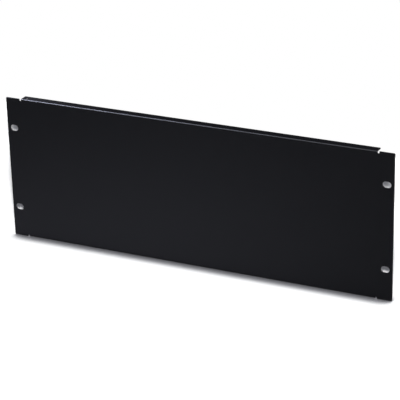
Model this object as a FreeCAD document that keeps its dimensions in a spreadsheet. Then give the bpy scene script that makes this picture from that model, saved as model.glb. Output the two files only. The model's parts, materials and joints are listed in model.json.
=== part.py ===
import FreeCAD, Part
import math
import os
import Sketcher

# Rack blanking panel, four rack units high, folded from one steel sheet.
#
# The sheet is a flat face with a mounting ear at each end. Between the ears its
# top and bottom edges are folded back into two stiffening flanges. A short
# relief slot at each end of each fold lets the flange bend clear of the ear.
#
# Frame: X runs along the panel, Y into the rack, Z up. The origin lies on the
# back of the ears, the face that meets the rack rails, at the centre of the
# four fixing slots. All sizes are in millimetres.

NODE = "blanking_panel"

# Driving dimensions: name, value, what it sets.
DRIVING_SIZES = (
    ("panel_width", 482.6, "overall width, end to end"),
    ("panel_height", 177.0, "overall height, four rack units less the fitting gap"),
    ("sheet_thickness", 1.2, "thickness of the sheet"),
    ("bend_inner_radius", 0.4, "inside radius of both folds"),
    ("flange_depth", 11.0, "front of the face to the back edge of a flange"),
    ("flange_corner_radius", 1.0, "rounding of the flanges' back corners"),
    ("ear_width", 17.3, "end of the panel to the nearer side of a relief slot"),
    ("ear_corner_radius", 1.5, "rounding of the four outer corners"),
    ("relief_width", 3.0, "width of a relief slot"),
    ("slot_inset", 8.75, "end of the panel to the centre of a fixing slot"),
    ("slot_row_pitch", 101.6, "upper to lower fixing slots, centre to centre"),
    ("slot_length", 10.0, "fixing slot, end to end"),
    ("slot_height", 7.5, "fixing slot, across its flats"),
    ("hang_hole_diameter", 3.4, "hole that the panel hangs from while it is coated"),
    ("hang_hole_inset", 5.5, "end of the flange to the centre of that hole"),
)

# Lengths that follow from the driving dimensions.
HALF_WIDTH = "(sizes.panel_width / 2)"
HALF_HEIGHT = "(sizes.panel_height / 2)"
HALF_FLANGE = f"({HALF_WIDTH} - sizes.ear_width - sizes.relief_width)"
BEND_OUTER_RADIUS = "(sizes.bend_inner_radius + sizes.sheet_thickness)"
BEND_LINE = f"({HALF_HEIGHT} - {BEND_OUTER_RADIUS})"
FLANGE_BACK = "(sizes.flange_depth - sizes.sheet_thickness)"
SLOT_HALF_STRAIGHT = "((sizes.slot_length - sizes.slot_height) / 2)"

# How Sketcher numbers the points of an edge, the X axis and the origin.
START, END, CENTRE = 1, 2, 3
HORIZONTAL_AXIS = -1
ORIGIN = (-1, START)


def make_size_sheet(doc):
    sheet = doc.addObject("Spreadsheet::Sheet", "sizes")
    for row, (alias, value, meaning) in enumerate(DRIVING_SIZES, start=1):
        sheet.set(f"A{row}", meaning)
        sheet.set(f"B{row}", str(value))
        sheet.setAlias(f"B{row}", alias)
    doc.recompute()


def length_of(obj, formula):
    """The present value of a formula on the size sheet."""
    return float(obj.evalExpression(formula))


def origin_plane(body, role):
    return next(plane for plane in body.Origin.OriginFeatures if plane.Role == role)


def new_sketch(body, name, role):
    sketch = body.newObject("Sketcher::SketchObject", name)
    sketch.AttachmentSupport = [(origin_plane(body, role), "")]
    sketch.MapMode = "FlatFace"
    return sketch


def add_line(sketch, start, end):
    return sketch.addGeometry(Part.LineSegment(FreeCAD.Vector(*start, 0), FreeCAD.Vector(*end, 0)))


def add_arc(sketch, centre, radius, first_degrees, last_degrees):
    """An arc drawn anticlockwise from its first angle to its last."""
    circle = Part.Circle(FreeCAD.Vector(*centre, 0), FreeCAD.Vector(0, 0, 1), radius)
    arc = Part.ArcOfCircle(circle, math.radians(first_degrees), math.radians(last_degrees))
    return sketch.addGeometry(arc)


def relate(sketch, kind, *places):
    """Add a geometric constraint, such as Tangent or Horizontal."""
    sketch.addConstraint(Sketcher.Constraint(kind, *places))


def dimension(sketch, name, kind, *places, formula):
    """Add a driving dimension and bind it to the size sheet."""
    value = length_of(sketch, formula)
    index = sketch.addConstraint(Sketcher.Constraint(kind, *places, value))
    sketch.renameConstraint(index, name)
    sketch.setExpression(f"Constraints.{name}", formula)


def cut_away(body, name, sketch, reversed_cut):
    """Punch a sketch through the sheet on one side of its plane."""
    volume_before = body.Shape.Volume
    pocket = body.newObject("PartDesign::Pocket", name)
    pocket.Profile = sketch
    pocket.Type = "ThroughAll"
    pocket.Reversed = reversed_cut
    body.Document.recompute()
    if body.Shape.Volume >= volume_before:
        raise RuntimeError(f"{name} cut nothing")
    return pocket


def mirror(body, name, feature, role):
    """Repeat a feature on the other side of an origin plane."""
    copy = body.newObject("PartDesign::Mirrored", name)
    copy.Originals = [feature]
    copy.MirrorPlane = (origin_plane(body, role), [""])
    body.Tip = copy
    body.Document.recompute()
    return copy


def repeat_in_four_corners(body, name, feature):
    """Mirror a feature left to right, then top to bottom."""
    repeat = body.newObject("PartDesign::MultiTransform", name)
    repeat.Originals = [feature]
    mirrors = []
    for side, role in (("left", "YZ_Plane"), ("bottom", "XY_Plane")):
        side_mirror = body.newObject("PartDesign::Mirrored", f"{name}_{side}")
        side_mirror.MirrorPlane = (origin_plane(body, role), [""])
        mirrors.append(side_mirror)
    repeat.Transformations = mirrors
    body.Tip = repeat
    body.Document.recompute()


def fold_face_and_flanges(body):
    """The face between the ears, with both long edges folded back.

    The section is drawn across the upper half of the panel, in Y and Z: up the
    front of the face, round the bend, along the flange and back inside it.
    """
    thickness = length_of(body, "sizes.sheet_thickness")
    inner_radius = length_of(body, "sizes.bend_inner_radius")
    outer_radius = length_of(body, BEND_OUTER_RADIUS)
    flange_back = length_of(body, FLANGE_BACK)
    bend_line = length_of(body, BEND_LINE)
    top = length_of(body, HALF_HEIGHT)
    underside = top - thickness
    bend_centre = (inner_radius, bend_line)

    sketch = new_sketch(body, "fold_section", "YZ_Plane")
    front = add_line(sketch, (-thickness, 0), (-thickness, bend_line))
    outer_bend = add_arc(sketch, bend_centre, outer_radius, 90, 180)
    flange_top = add_line(sketch, (inner_radius, top), (flange_back, top))
    flange_edge = add_line(sketch, (flange_back, top), (flange_back, underside))
    flange_underside = add_line(sketch, (flange_back, underside), (inner_radius, underside))
    inner_bend = add_arc(sketch, bend_centre, inner_radius, 90, 180)
    back = add_line(sketch, (0, bend_line), (0, 0))
    middle = add_line(sketch, (0, 0), (-thickness, 0))

    relate(sketch, "Tangent", front, END, outer_bend, END)
    relate(sketch, "Tangent", outer_bend, START, flange_top, START)
    relate(sketch, "Coincident", flange_top, END, flange_edge, START)
    relate(sketch, "Coincident", flange_edge, END, flange_underside, START)
    relate(sketch, "Tangent", flange_underside, END, inner_bend, START)
    relate(sketch, "Tangent", inner_bend, END, back, START)
    relate(sketch, "Coincident", back, END, middle, START)
    relate(sketch, "Coincident", middle, END, front, START)
    relate(sketch, "Coincident", outer_bend, CENTRE, inner_bend, CENTRE)
    relate(sketch, "Coincident", middle, START, *ORIGIN)
    for upright in (front, flange_edge, back):
        relate(sketch, "Vertical", upright)
    for level in (flange_top, flange_underside, middle):
        relate(sketch, "Horizontal", level)
    dimension(sketch, "thickness", "DistanceX", middle, END, middle, START, formula="sizes.sheet_thickness")
    dimension(sketch, "inner_radius", "Radius", inner_bend, formula="sizes.bend_inner_radius")
    dimension(sketch, "top", "DistanceY", *ORIGIN, flange_top, START, formula=HALF_HEIGHT)
    dimension(sketch, "back_edge", "DistanceX", *ORIGIN, flange_edge, START, formula=FLANGE_BACK)

    upper_fold = body.newObject("PartDesign::Pad", "upper_fold")
    upper_fold.Profile = sketch
    upper_fold.SideType = "Symmetric"
    upper_fold.setExpression("Length", f"2 * {HALF_FLANGE}")
    mirror(body, "lower_fold", upper_fold, "XY_Plane")


def add_ears(body):
    """The two full-height ears that lie against the rack rails."""
    inner_side = length_of(body, HALF_FLANGE)
    outer_side = length_of(body, HALF_WIDTH)
    top = length_of(body, HALF_HEIGHT)
    radius = length_of(body, "sizes.ear_corner_radius")
    arc_x = outer_side - radius
    arc_z = top - radius

    sketch = new_sketch(body, "ear_outline", "XZ_Plane")
    root = add_line(sketch, (inner_side, -top), (inner_side, top))
    upper_edge = add_line(sketch, (inner_side, top), (arc_x, top))
    upper_corner = add_arc(sketch, (arc_x, arc_z), radius, 0, 90)
    end_edge = add_line(sketch, (outer_side, arc_z), (outer_side, -arc_z))
    lower_corner = add_arc(sketch, (arc_x, -arc_z), radius, 270, 360)
    lower_edge = add_line(sketch, (arc_x, -top), (inner_side, -top))

    relate(sketch, "Coincident", root, END, upper_edge, START)
    relate(sketch, "Tangent", upper_edge, END, upper_corner, END)
    relate(sketch, "Tangent", upper_corner, START, end_edge, START)
    relate(sketch, "Tangent", end_edge, END, lower_corner, END)
    relate(sketch, "Tangent", lower_corner, START, lower_edge, START)
    relate(sketch, "Coincident", lower_edge, END, root, START)
    relate(sketch, "Symmetric", root, START, root, END, HORIZONTAL_AXIS)
    relate(sketch, "Equal", upper_corner, lower_corner)
    relate(sketch, "Vertical", end_edge)
    for level in (upper_edge, lower_edge):
        relate(sketch, "Horizontal", level)
    dimension(sketch, "root_x", "DistanceX", *ORIGIN, root, END, formula=HALF_FLANGE)
    dimension(sketch, "end_x", "DistanceX", *ORIGIN, end_edge, START, formula=HALF_WIDTH)
    dimension(sketch, "top", "DistanceY", *ORIGIN, root, END, formula=HALF_HEIGHT)
    dimension(sketch, "corner_radius", "Radius", upper_corner, formula="sizes.ear_corner_radius")

    right_ear = body.newObject("PartDesign::Pad", "right_ear")
    right_ear.Profile = sketch
    right_ear.setExpression("Length", "sizes.sheet_thickness")
    mirror(body, "left_ear", right_ear, "YZ_Plane")


def cut_relief_slots(body):
    """Round-ended slots that part the ends of each fold from the ears.

    The round end is centred on the bend line, so the fold has nothing beside it
    to tear. The outline runs a sheet's thickness past the edge, to open there.
    """
    inner_side = length_of(body, HALF_FLANGE)
    width = length_of(body, "sizes.relief_width")
    mouth_formula = f"{HALF_HEIGHT} + sizes.sheet_thickness"
    mouth = length_of(body, mouth_formula)
    arc_z = length_of(body, BEND_LINE)
    outer_side = inner_side + width

    sketch = new_sketch(body, "relief_outline", "XZ_Plane")
    inner_wall = add_line(sketch, (inner_side, mouth), (inner_side, arc_z))
    bottom = add_arc(sketch, (inner_side + width / 2, arc_z), width / 2, 180, 360)
    outer_wall = add_line(sketch, (outer_side, arc_z), (outer_side, mouth))
    opening = add_line(sketch, (outer_side, mouth), (inner_side, mouth))

    relate(sketch, "Tangent", inner_wall, END, bottom, START)
    relate(sketch, "Tangent", bottom, END, outer_wall, START)
    relate(sketch, "Coincident", outer_wall, END, opening, START)
    relate(sketch, "Coincident", opening, END, inner_wall, START)
    relate(sketch, "Vertical", inner_wall)
    relate(sketch, "Vertical", outer_wall)
    relate(sketch, "Horizontal", opening)
    dimension(sketch, "inner_x", "DistanceX", *ORIGIN, inner_wall, START, formula=HALF_FLANGE)
    dimension(sketch, "width", "DistanceX", opening, END, opening, START, formula="sizes.relief_width")
    dimension(sketch, "mouth_z", "DistanceY", *ORIGIN, inner_wall, START, formula=mouth_formula)
    dimension(sketch, "bottom_centre_z", "DistanceY", *ORIGIN, bottom, CENTRE, formula=BEND_LINE)

    relief = cut_away(body, "relief_slot", sketch, reversed_cut=True)
    repeat_in_four_corners(body, "relief_slots", relief)


def cut_fixing_slots(body):
    """The four level slots that take the rack screws."""
    slot_x = f"{HALF_WIDTH} - sizes.slot_inset"
    near_centre = f"{slot_x} - {SLOT_HALF_STRAIGHT}"
    near_x = length_of(body, near_centre)
    far_x = length_of(body, f"{slot_x} + {SLOT_HALF_STRAIGHT}")
    level = length_of(body, "sizes.slot_row_pitch / 2")
    radius = length_of(body, "sizes.slot_height / 2")

    sketch = new_sketch(body, "fixing_slot_outline", "XZ_Plane")
    upper_flat = add_line(sketch, (near_x, level + radius), (far_x, level + radius))
    far_end = add_arc(sketch, (far_x, level), radius, 270, 450)
    lower_flat = add_line(sketch, (far_x, level - radius), (near_x, level - radius))
    near_end = add_arc(sketch, (near_x, level), radius, 90, 270)

    relate(sketch, "Tangent", upper_flat, END, far_end, END)
    relate(sketch, "Tangent", far_end, START, lower_flat, START)
    relate(sketch, "Tangent", lower_flat, END, near_end, END)
    relate(sketch, "Tangent", near_end, START, upper_flat, START)
    relate(sketch, "Equal", far_end, near_end)
    relate(sketch, "Horizontal", upper_flat)
    dimension(sketch, "near_x", "DistanceX", *ORIGIN, near_end, CENTRE, formula=near_centre)
    dimension(sketch, "level", "DistanceY", *ORIGIN, near_end, CENTRE, formula="sizes.slot_row_pitch / 2")
    dimension(sketch, "straight", "DistanceX", near_end, CENTRE, far_end, CENTRE,
              formula=f"2 * {SLOT_HALF_STRAIGHT}")
    dimension(sketch, "end_radius", "Radius", near_end, formula="sizes.slot_height / 2")

    fixing_slot = cut_away(body, "fixing_slot", sketch, reversed_cut=True)
    repeat_in_four_corners(body, "fixing_slots", fixing_slot)


def round_flange_corners(body):
    """Round the four upright edges at the back corners of the flanges."""
    corner_x = length_of(body, HALF_FLANGE)
    corner_y = length_of(body, FLANGE_BACK)
    tolerance = 1e-4
    sharp_panel = body.Tip
    corner_edges = []
    for number, edge in enumerate(sharp_panel.Shape.Edges, start=1):
        middle = edge.CenterOfMass
        off_x = abs(abs(middle.x) - corner_x)
        off_y = abs(middle.y - corner_y)
        if off_x < tolerance and off_y < tolerance:
            corner_edges.append(f"Edge{number}")
    rounding = body.newObject("PartDesign::Fillet", "flange_corners")
    rounding.Base = (sharp_panel, corner_edges)
    rounding.setExpression("Radius", "sizes.flange_corner_radius")
    body.Tip = rounding
    body.Document.recompute()


def cut_hanging_hole(body):
    """The one small hole near the left end of the top flange, midway across it."""
    hole_x = f"{HALF_FLANGE} - sizes.hang_hole_inset"
    hole_y = "sizes.flange_depth / 2 - sizes.sheet_thickness"
    centre = FreeCAD.Vector(-length_of(body, hole_x), length_of(body, hole_y), 0)
    radius = length_of(body, "sizes.hang_hole_diameter / 2")

    sketch = new_sketch(body, "hanging_hole_outline", "XY_Plane")
    rim = sketch.addGeometry(Part.Circle(centre, FreeCAD.Vector(0, 0, 1), radius))
    dimension(sketch, "hole_x", "DistanceX", rim, CENTRE, *ORIGIN, formula=hole_x)
    dimension(sketch, "hole_y", "DistanceY", *ORIGIN, rim, CENTRE, formula=hole_y)
    dimension(sketch, "diameter", "Diameter", rim, formula="sizes.hang_hole_diameter")
    cut_away(body, "hanging_hole", sketch, reversed_cut=True)


def check_document(doc, body):
    for obj in doc.Objects:
        if "Invalid" in obj.State or "Error" in obj.State:
            raise RuntimeError(f"{obj.Name} failed: {obj.State}")
    for sketch in doc.findObjects("Sketcher::SketchObject"):
        if not sketch.FullyConstrained:
            raise RuntimeError(f"{sketch.Name} is not fully constrained")
    if body.Shape.isNull() or not body.Shape.isValid() or len(body.Shape.Solids) != 1:
        raise RuntimeError(f"{body.Label} is not one valid solid")


doc = FreeCAD.newDocument("rack_blanking_panel")
make_size_sheet(doc)

panel = doc.addObject("PartDesign::Body", NODE)
panel.Label = NODE
fold_face_and_flanges(panel)
add_ears(panel)
cut_relief_slots(panel)
cut_fixing_slots(panel)
round_flange_corners(panel)
cut_hanging_hole(panel)
doc.recompute()
check_document(doc, panel)

os.makedirs("parts", exist_ok=True)
panel.Shape.exportStep(f"parts/{panel.Label}.step")
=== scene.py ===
import json
import math

import bmesh
import bpy
from mathutils import Matrix, Vector
from mathutils.geometry import delaunay_2d_cdt


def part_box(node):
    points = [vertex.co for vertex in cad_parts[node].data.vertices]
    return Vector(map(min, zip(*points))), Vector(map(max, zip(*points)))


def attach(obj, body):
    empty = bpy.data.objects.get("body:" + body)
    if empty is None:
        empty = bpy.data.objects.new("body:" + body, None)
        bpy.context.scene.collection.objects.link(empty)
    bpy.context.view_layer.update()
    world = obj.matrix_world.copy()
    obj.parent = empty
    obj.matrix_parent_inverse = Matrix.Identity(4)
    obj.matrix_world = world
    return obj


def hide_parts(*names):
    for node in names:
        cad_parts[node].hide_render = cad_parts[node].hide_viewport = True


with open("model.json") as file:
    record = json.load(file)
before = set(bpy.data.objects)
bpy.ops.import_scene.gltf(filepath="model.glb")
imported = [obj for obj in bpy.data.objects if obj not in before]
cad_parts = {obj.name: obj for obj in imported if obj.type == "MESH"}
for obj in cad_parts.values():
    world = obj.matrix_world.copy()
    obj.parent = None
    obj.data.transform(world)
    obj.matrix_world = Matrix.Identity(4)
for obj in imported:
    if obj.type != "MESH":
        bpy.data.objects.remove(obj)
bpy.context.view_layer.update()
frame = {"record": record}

# ------------------------------------------------------------ blanking panel
# One sheet of 1.2 mm mild steel. It is punched flat, with its fixing slots,
# bend reliefs and hanging hole, then both long edges are folded back. It is
# powder coated last, so the black coat wraps every cut edge and softens it.

MM = 0.001
low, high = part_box("blanking_panel")
mounts = {mount["name"]: mount for mount in frame["record"]["mounts"]}
slot = mounts["rack_slots"]["dims"]

sheet = 1.2 * MM
bend_outside = 1.6 * MM
ear_width = 18.0 * MM
ear_outer_corner = 1.5 * MM
ear_inner_corner = 0.3 * MM
relief_width = 2.0 * MM
flange_corner = 1.0 * MM
hang_hole_radius = 1.7 * MM
hang_hole_inset = 5.8 * MM
edge_round = 0.22 * MM

# The flat sheet is drawn in x, along the panel, and s, which goes up the face
# and on, past the bend line, round the bend and back along the flange.
bend_line = high.z - bend_outside
bend_length = math.pi / 2 * (bend_outside - sheet / 2)
flange_front = low.y + bend_outside
flange_end = bend_line + bend_length + high.y - flange_front
ear_inside = high.x - ear_width
flange_side = ear_inside - relief_width
relief_bottom = bend_line - relief_width / 2


def rounded(corners, clockwise=False):
    """A closed outline through (x, s, radius) corners, each drawn as an arc."""
    widest_step = math.radians(7.5)
    fewest_steps = 4
    same_place = 1e-6
    outline = []
    for number, (x, s, radius) in enumerate(corners):
        corner = Vector((x, s))
        following = corners[(number + 1) % len(corners)]
        back = (Vector(corners[number - 1][:2]) - corner).normalized()
        ahead = (Vector(following[:2]) - corner).normalized()
        half = back.angle(ahead) / 2
        centre = corner + (back + ahead).normalized() * radius / math.sin(half)
        start = corner + back * radius / math.tan(half) - centre
        end = corner + ahead * radius / math.tan(half) - centre
        turn = start.angle_signed(end)
        steps = max(fewest_steps, math.ceil(abs(turn) / widest_step))
        for step in range(steps + 1):
            point = centre + Matrix.Rotation(-turn * step / steps, 2) @ start
            if not outline or (point - outline[-1]).length > same_place:
                outline.append(point)
    if (outline[0] - outline[-1]).length < same_place:
        outline.pop()
    return outline[::-1] if clockwise else outline


def opening(x, s, half_x, half_s, radius):
    """The outline of a rounded hole or slot centred at x, s."""
    corners = [
        (x + half_x, s - half_s, radius),
        (x + half_x, s + half_s, radius),
        (x - half_x, s + half_s, radius),
        (x - half_x, s - half_s, radius),
    ]
    return rounded(corners, clockwise=True)


def inset(outline, distance):
    """The outline moved into the metal by a distance."""
    moved = []
    for number, point in enumerate(outline):
        before = (point - outline[number - 1]).normalized()
        after = (outline[(number + 1) % len(outline)] - point).normalized()
        inward_before = Vector((-before.y, before.x))
        inward_after = Vector((-after.y, after.x))
        share = distance / (1 + inward_before.dot(inward_after))
        moved.append(point + (inward_before + inward_after) * share)
    return moved


upper_right = [
    (high.x, high.z, ear_outer_corner),
    (ear_inside, high.z, ear_inner_corner),
    (ear_inside, relief_bottom, relief_width / 2),
    (flange_side, relief_bottom, relief_width / 2),
    (flange_side, flange_end, flange_corner),
]
sheet_corners = (
    upper_right
    + [(-x, s, radius) for x, s, radius in reversed(upper_right)]
    + [(-x, -s, radius) for x, s, radius in upper_right]
    + [(x, -s, radius) for x, s, radius in reversed(upper_right)]
)
slot_x = slot["spacing_x_mm"] / 2 * MM
slot_s = slot["spacing_y_mm"] / 2 * MM
slot_half_length = slot["slot_length_mm"] / 2 * MM
slot_radius = slot["hole_r_mm"] * MM
hang_hole_x = hang_hole_inset - flange_side
hang_hole_y = (low.y + high.y) / 2
hang_hole_s = bend_line + bend_length + hang_hole_y - flange_front

outlines = [rounded(sheet_corners)]
for x in (-slot_x, slot_x):
    for s in (-slot_s, slot_s):
        outlines.append(opening(x, s, slot_half_length, slot_radius, slot_radius))
outlines.append(opening(hang_hole_x, hang_hole_s, hang_hole_radius, hang_hole_radius, hang_hole_radius))


def cut_sheet(outlines):
    """The flat sheet: its cut edges, then its front and back faces.

    The coat rounds every cut edge, so its section is a quarter round in front,
    a flat wall and a quarter round behind.
    """
    rounding = []
    for degrees in (0, 22.5, 45, 67.5, 90):
        angle = math.radians(degrees)
        rounding.append((edge_round * (1 - math.sin(angle)), edge_round * (1 - math.cos(angle))))
    section = rounding + [(inward, sheet - depth) for inward, depth in reversed(rounding)]

    flat = bmesh.new()
    front, back = [], []
    points, edges, outline_of = [], [], []
    for number, outline in enumerate(outlines):
        count = len(outline)
        rings = []
        for inward, depth in section:
            rings.append([flat.verts.new((point.x, depth, point.y)) for point in inset(outline, inward)])
        for ring, next_ring in zip(rings, rings[1:]):
            for i in range(count):
                j = (i + 1) % count
                flat.faces.new((ring[i], ring[j], next_ring[j], next_ring[i]))
        first = len(points)
        points += inset(outline, edge_round)
        edges += [(first + i, first + (i + 1) % count) for i in range(count)]
        outline_of += [number] * count
        front += rings[0]
        back += rings[-1]

    inside_only, tolerance = 1, 1e-9
    filled = delaunay_2d_cdt(points, edges, [], inside_only, tolerance)
    triangles, origins = filled[2], filled[3]
    for triangle in triangles:
        corners = [origins[point][0] for point in triangle]
        touched = {outline_of[corner] for corner in corners}
        # With all its corners on one opening's outline, it would close that opening.
        spans_opening = len(touched) == 1 and 0 not in touched
        if not spans_opening:
            flat.faces.new([front[corner] for corner in corners])
            flat.faces.new([back[corner] for corner in reversed(corners)])
    return flat


def fold(flat):
    """Folds both long edges back 90 degrees, between the relief slots."""
    bend_steps = 16
    same_place = 1e-8
    for side in (-1, 1):
        for step in range(bend_steps + 1):
            level = side * (bend_line + bend_length * step / bend_steps)
            everything = flat.verts[:] + flat.edges[:] + flat.faces[:]
            bmesh.ops.bisect_plane(
                flat, geom=everything, dist=same_place, plane_co=(0, 0, level), plane_no=(0, 0, 1))
    middle_of_relief = flange_side + relief_width / 2
    for vertex in flat.verts:
        x, depth, s = vertex.co
        past = abs(s) - bend_line
        if past <= 0 or abs(x) > middle_of_relief:
            vertex.co = (x, low.y + depth, s)
            continue
        radius = bend_outside - depth
        angle = min(past / bend_length, 1) * math.pi / 2
        along_flange = max(past - bend_length, 0)
        y = flange_front - radius * math.cos(angle) + along_flange
        vertex.co = (x, y, math.copysign(bend_line + radius * math.sin(angle), s))
    bmesh.ops.recalc_face_normals(flat, faces=flat.faces)


shape = cut_sheet(outlines)
fold(shape)
mesh = bpy.data.meshes.new("folded_sheet")
shape.to_mesh(mesh)
shape.free()
for face in mesh.polygons:
    face.use_smooth = True
panel = bpy.data.objects.new("folded_sheet", mesh)
bpy.context.scene.collection.objects.link(panel)
flat_shading = panel.modifiers.new("flat faces stay flat", "WEIGHTED_NORMAL")
flat_shading.mode = "FACE_AREA"
flat_shading.weight = 100
flat_shading.keep_sharp = False


def linear(hex_colour):
    """An sRGB colour such as 1b1b1d as the linear values that a shader takes."""
    parts = [int(hex_colour[i:i + 2], 16) / 255 for i in (0, 2, 4)]
    return [part / 12.92 if part <= 0.04045 else ((part + 0.055) / 1.055) ** 2.4 for part in parts] + [1.0]


def add(tree, kind, links=None, sockets=None, **settings):
    """Adds one node with its settings, socket values and incoming links."""
    made = tree.nodes.new(kind)
    for name, value in settings.items():
        setattr(made, name, value)
    for name, value in (sockets or {}).items():
        made.inputs[name].default_value = value
    for name, source in (links or {}).items():
        tree.links.new(source, made.inputs[name])
    return made


def powder_coat_on_steel():
    """Polyester powder coat, sprayed dry and baked on steel.

    It levels to a smooth satin black with a slight orange peel, so highlights
    are soft and a little uneven.
    """
    peel_width = 2.5 * MM       # from crest to crest of the orange peel
    peel_height = 0.018 * MM
    grain_width = 0.5 * MM      # real grains of 0.05 mm are too fine to show, so coarser
    grain_height = 0.006 * MM
    spray_pass = 120 * MM       # the film varies where the gun's passes overlap

    coat = bpy.data.materials.new("powder_coat_on_steel")
    coat.use_nodes = True
    tree = coat.node_tree
    shader = tree.nodes["Principled BSDF"]
    place = add(tree, "ShaderNodeTexCoord")
    peel = add(tree, "ShaderNodeTexNoise", {"Vector": place.outputs["Object"]},
               {"Scale": 1 / peel_width, "Detail": 2.0, "Roughness": 0.45})
    grain = add(tree, "ShaderNodeTexNoise", {"Vector": place.outputs["Object"]},
                {"Scale": 1 / grain_width, "Detail": 3.0, "Roughness": 0.6})
    film = add(tree, "ShaderNodeTexNoise", {"Vector": place.outputs["Object"]},
               {"Scale": 1 / spray_pass, "Detail": 2.0, "Roughness": 0.5})
    peel_bump = add(tree, "ShaderNodeBump", {"Height": peel.outputs["Fac"]},
                    {"Strength": 1.0, "Distance": peel_height})
    grain_bump = add(tree, "ShaderNodeBump",
                     {"Height": grain.outputs["Fac"], "Normal": peel_bump.outputs["Normal"]},
                     {"Strength": 1.0, "Distance": grain_height})
    tone = add(tree, "ShaderNodeMix", {"Factor": film.outputs["Fac"]}, data_type="RGBA")
    tone.inputs["A"].default_value = linear("0e0e10")
    tone.inputs["B"].default_value = linear("0f0f11")
    satin = add(tree, "ShaderNodeMapRange", {"Value": grain.outputs["Fac"]},
                {"From Min": 0.3, "From Max": 0.7, "To Min": 0.30, "To Max": 0.35})
    tree.links.new(tone.outputs["Result"], shader.inputs["Base Color"])
    tree.links.new(satin.outputs["Result"], shader.inputs["Roughness"])
    tree.links.new(grain_bump.outputs["Normal"], shader.inputs["Normal"])
    shader.inputs["IOR"].default_value = 1.5
    return coat


mesh.materials.append(powder_coat_on_steel())

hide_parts("blanking_panel")
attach(panel, "root")

# --------------------------------------------------------------------- floor
# A sheet of white paper, on which the panel stands on its lower flange. It
# ends behind the panel, where the white room takes over. Close to the panel a
# dark contact shade is painted into the paper's colour.

left, right = -0.8, 1.2
front, back = -1.2, 0.4
corners = [(left, front, low.z), (right, front, low.z), (right, back, low.z), (left, back, low.z)]
mesh = bpy.data.meshes.new("floor")
mesh.from_pydata(corners, [], [(0, 1, 2, 3)])
floor = bpy.data.objects.new("floor", mesh)
bpy.context.scene.collection.objects.link(floor)


def white_paper_with_painted_shade():
    """Matt white paper, with a faint blue shade painted in close to the panel."""
    painted_shade_reach = 25 * MM
    painted_shade_by_openness = [
        (0.50, "535357"), (0.576, "6a6a6d"), (0.652, "7d7d81"), (0.725, "a6a6a9"),
        (0.795, "d8d8d9"), (0.86, "f0f0f0"), (0.917, "fafafa"), (0.97, "ffffff"),
    ]
    paper = bpy.data.materials.new("white_paper_with_painted_shade")
    paper.use_nodes = True
    tree = paper.node_tree
    shader = tree.nodes["Principled BSDF"]
    shader.inputs["Roughness"].default_value = 1.0
    shader.inputs["Specular IOR Level"].default_value = 0.0
    # Painted shade: the less open the paper is around a point, within the reach, the darker its colour.
    openness = add(tree, "ShaderNodeAmbientOcclusion", None, {"Distance": painted_shade_reach}, samples=24)
    shade = add(tree, "ShaderNodeValToRGB", {"Fac": openness.outputs["AO"]})
    ramp = shade.color_ramp
    while len(ramp.elements) < len(painted_shade_by_openness):
        ramp.elements.new(0.5)
    for stop, (position, colour) in zip(ramp.elements, painted_shade_by_openness):
        stop.position = position
        stop.color = linear(colour)
    tree.links.new(shade.outputs["Color"], shader.inputs["Base Color"])
    return paper


mesh.materials.append(white_paper_with_painted_shade())

# --------------------------------------------------------------- black cards
# Black gloss mirrors what stands around it. Three cards out of sight, flat in
# front, upright beyond that and upright behind, keep the white room out of the
# face and the fold. Two have a soft glow on the left, which lifts the black.


def card(name, corners, dark, bright, centre, reach):
    """A flat card that only reflections see, with a glow that fades from a centre."""
    mesh = bpy.data.meshes.new(name)
    mesh.from_pydata(corners, [], [(0, 1, 2, 3)])
    made = bpy.data.objects.new(name, mesh)
    bpy.context.scene.collection.objects.link(made)
    made.visible_camera = False
    made.visible_diffuse = False
    made.visible_shadow = False
    made.visible_transmission = False
    made.visible_volume_scatter = False
    finish = bpy.data.materials.new(name)
    finish.use_nodes = True
    tree = finish.node_tree
    tree.nodes.clear()
    place = add(tree, "ShaderNodeTexCoord")
    away = add(tree, "ShaderNodeVectorMath", {0: place.outputs["Object"]}, {1: centre},
               operation="DISTANCE")
    fade = add(tree, "ShaderNodeMapRange", {"Value": away.outputs["Value"]},
               {"From Max": reach, "To Min": bright, "To Max": dark},
               interpolation_type="SMOOTHERSTEP")
    glow = add(tree, "ShaderNodeEmission", {"Strength": fade.outputs["Result"]},
               {"Color": linear("eaecff")})
    add(tree, "ShaderNodeOutputMaterial", {"Surface": glow.outputs["Emission"]})
    mesh.materials.append(finish)


ground = low.z + 0.5 * MM
card_top = 3
half_width = 3
front_far = -4
front_near = -4 * MM
card("front_card",
     [(-half_width, front_far, ground), (half_width, front_far, ground),
      (half_width, front_near, ground), (-half_width, front_near, ground)],
     dark=0.1176, bright=0.3472, centre=(-0.14, -0.05, ground), reach=0.52)
card("front_wall",
     [(-half_width, front_far, ground), (half_width, front_far, ground),
      (half_width, front_far, card_top), (-half_width, front_far, card_top)],
     dark=0.0, bright=0.0, centre=(0, 0, 0), reach=1)
back_left, back_y = -1.6, 1
card("back_card",
     [(back_left, back_y, ground), (half_width, back_y, ground),
      (half_width, back_y, card_top), (back_left, back_y, card_top)],
     dark=0.0, bright=1.064, centre=(-1.08, back_y, 0.45), reach=0.42)

# -------------------------------------------------------------------- lights
# A small key lamp high beside the camera puts the panel's shadow behind it. A
# softbox above on the left draws the bright line along the fold, and a weak
# one behind opens the back. A spot brightens the floor farther behind.


def set_up(name, light, at, facing, lit):
    """Stands a light at a place, turned to a direction, for one collection only."""
    made = bpy.data.objects.new(name, light)
    bpy.context.scene.collection.objects.link(made)
    made.location = at
    made.rotation_euler = facing.to_track_quat("-Z", "Y").to_euler()
    made.light_linking.receiver_collection = lit


def area_lamp(name, at, towards, size, power, colour, lit):
    """An area lamp at a place, facing a point."""
    light = bpy.data.lights.new(name, "AREA")
    light.shape = "RECTANGLE"
    light.size, light.size_y = size
    light.energy = power
    light.color = linear(colour)[:3]
    set_up(name, light, at, Vector(towards) - Vector(at), lit)
    return light


on_panel = bpy.data.collections.new("lit_panel")
on_panel.objects.link(panel)
on_floor = bpy.data.collections.new("lit_floor")
on_floor.objects.link(floor)

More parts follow.
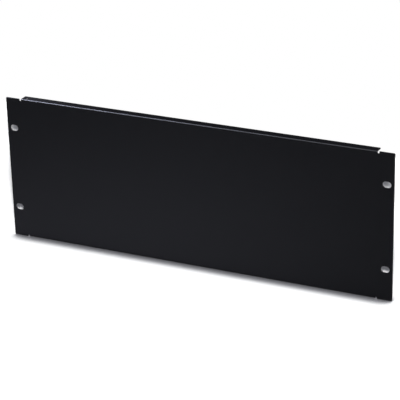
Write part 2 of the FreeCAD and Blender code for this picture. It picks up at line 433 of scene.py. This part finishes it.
# The key's light doesn't fade with distance, so the paper is evenly white.
key = area_lamp("key", (0.8185, -1.702, 0.96), (0, 0, 0), (0.11, 0.12), 150, "ffffff", on_floor)
key.use_nodes = True
tree = key.node_tree
falloff = add(tree, "ShaderNodeLightFalloff", None, {"Strength": 0.138})
tree.links.new(falloff.outputs["Constant"], tree.nodes["Emission"].inputs["Strength"])

# The spot's light passes through the upper slots and stays above the lower
# ones: the lower edge of its wide cone crosses the panel at lowest_lit.
spot_at = Vector((0.8185, -1.702, 0.86))
lowest_lit = -0.02
spot = bpy.data.lights.new("spot", "SPOT")
spot.energy = 430
spot.shadow_soft_size = 0.025
spot.spot_size = math.radians(170)
spot.spot_blend = 0.01
lower_edge = Vector((0, -spot_at.y, lowest_lit - spot_at.z))
set_up("spot", spot, spot_at, Matrix.Rotation(spot.spot_size / 2, 3, "X") @ lower_edge, on_floor)

area_lamp("softbox", (-1.42, -0.46, 2.0), (-0.1, 0, 0.08), (0.5, 0.5), 66, "dde3ff", on_panel)
area_lamp("back_fill", (0.9, 1.6, 1.2), (0, 0, 0), (1.0, 1.0), 20, "ffffff", on_panel)

# The room is white to the eye, in gloss and through glass. As a light on matt
# things it is weak and a little blue.
world = bpy.data.worlds.new("white_room")
bpy.context.scene.world = world
world.use_nodes = True
tree = world.node_tree
white = tree.nodes["Background"]
ray = add(tree, "ShaderNodeLightPath")
seen = add(tree, "ShaderNodeMath",
           {0: ray.outputs["Is Camera Ray"], 1: ray.outputs["Is Glossy Ray"]}, operation="MAXIMUM")
seen_or_through = add(tree, "ShaderNodeMath",
                      {0: seen.outputs[0], 1: ray.outputs["Is Transmission Ray"]}, operation="MAXIMUM")
level = add(tree, "ShaderNodeMapRange", {"Value": seen_or_through.outputs[0]},
            {"To Min": 0.1712, "To Max": 1.0})
tint = add(tree, "ShaderNodeMix", {"Factor": seen_or_through.outputs[0]}, data_type="RGBA")
tint.inputs["A"].default_value = linear("f2f4ff")
tint.inputs["B"].default_value = linear("ffffff")
tree.links.new(tint.outputs["Result"], white.inputs["Color"])
tree.links.new(level.outputs["Result"], white.inputs["Strength"])

# -------------------------------------------------------------------- camera
# A long lens about two metres away, to the right and above. It sees the whole
# face, the top of the upper flange and the bend between them.

scene = bpy.context.scene
lens = bpy.data.cameras.new("camera")
lens.lens = 161.81
lens.sensor_width = 36
lens.clip_end = 50
camera = bpy.data.objects.new("camera", lens)
scene.collection.objects.link(camera)
camera_at = (0.81847, -1.70217, 0.81605)
turned_left, tilted_down, leaning = math.radians(25.468), math.radians(23.503), math.radians(-1.452)
camera.matrix_world = (
    Matrix.Translation(camera_at)
    @ Matrix.Rotation(turned_left, 4, "Z")
    @ Matrix.Rotation(math.pi / 2 - tilted_down, 4, "X")
    @ Matrix.Rotation(leaning, 4, "Z")
)
scene.camera = camera
scene.view_settings.view_transform = "Standard"
